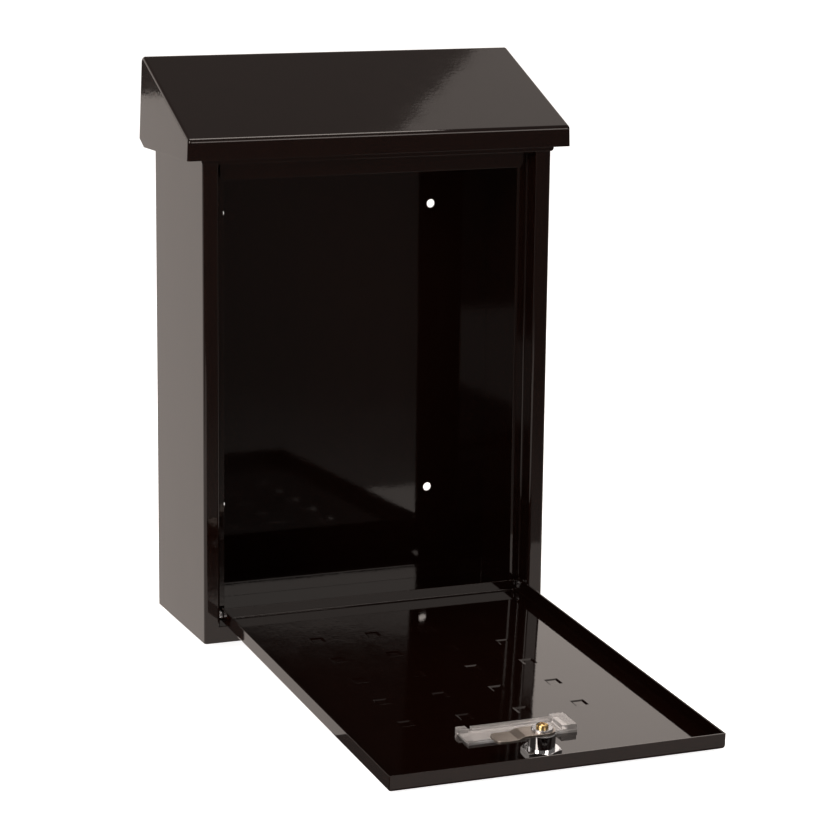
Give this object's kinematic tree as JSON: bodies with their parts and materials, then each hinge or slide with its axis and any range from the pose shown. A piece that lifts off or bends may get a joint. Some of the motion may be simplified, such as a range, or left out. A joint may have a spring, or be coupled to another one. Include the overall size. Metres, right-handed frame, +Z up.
{
  "type": "wall mounted mailbox",
  "caption": "Folded-sheet wall mailbox with a sloping lift-up roof lid, a drop-down tray door, a cam lock and a clear name plate holder.",
  "frame": {"origin": "centre of the rectangle of wall screw holes, on the back face that touches the wall", "axes": "+X to the right seen from the front, +Y into the wall, +Z up"},
  "size_m": [0.2632, 0.3884, 0.3775],
  "materials": {
    "black_powder_coat": "gloss powder coat, very dark brown black, fine orange peel",
    "bright_zinc": "bright zinc plate",
    "chrome_plate": "polished",
    "nickel_plate": "satin nickel",
    "dull_zinc": "dull zinc plate",
    "brass": "polished",
    "clear_plastic": "clear moulded",
    "blank_card": "matt, blank"
  },
  "bodies": {
    "case": {"left_side_panel": "black_powder_coat", "right_side_panel": "black_powder_coat", "back_panel": "black_powder_coat", "floor_pan": "black_powder_coat", "front_header": "black_powder_coat", "left_door_pin": "bright_zinc", "right_door_pin": "bright_zinc", "left_door_spacer": "bright_zinc", "right_door_spacer": "bright_zinc", "lid_rod": "bright_zinc", "left_rod_cap": "bright_zinc", "right_rod_cap": "bright_zinc"},
    "door": {"door_tray": "black_powder_coat", "lock_body": "chrome_plate", "lock_nut": "chrome_plate", "name_holder": "clear_plastic", "name_card": "blank_card"},
    "lock": {"lock_plug": "nickel_plate", "lock_cam": "dull_zinc", "cam_washer": "bright_zinc", "cam_screw": "brass"},
    "lid": {"roof_lid": "black_powder_coat", "left_lid_bracket": "black_powder_coat", "right_lid_bracket": "black_powder_coat"}
  },
  "joints": [
    {"name": "door_hinge", "type": "hinge", "parent": "case", "child": "door", "pos_m": [0, -0.0938, -0.149], "axis": [-1, 0, 0], "range_deg": [0, 93.1]},
    {"name": "lock_turn", "type": "hinge", "parent": "door", "child": "lock", "pos_m": [0, -0.36071, -0.16345], "axis": [0, -0.0541, 0.9985], "range_deg": [0, 90]},
    {"name": "lid_hinge", "type": "hinge", "parent": "case", "child": "lid", "pos_m": [0, -0.004, 0.20161], "axis": [-1, 0, 0], "range_deg": [0, 75]}
  ]
}
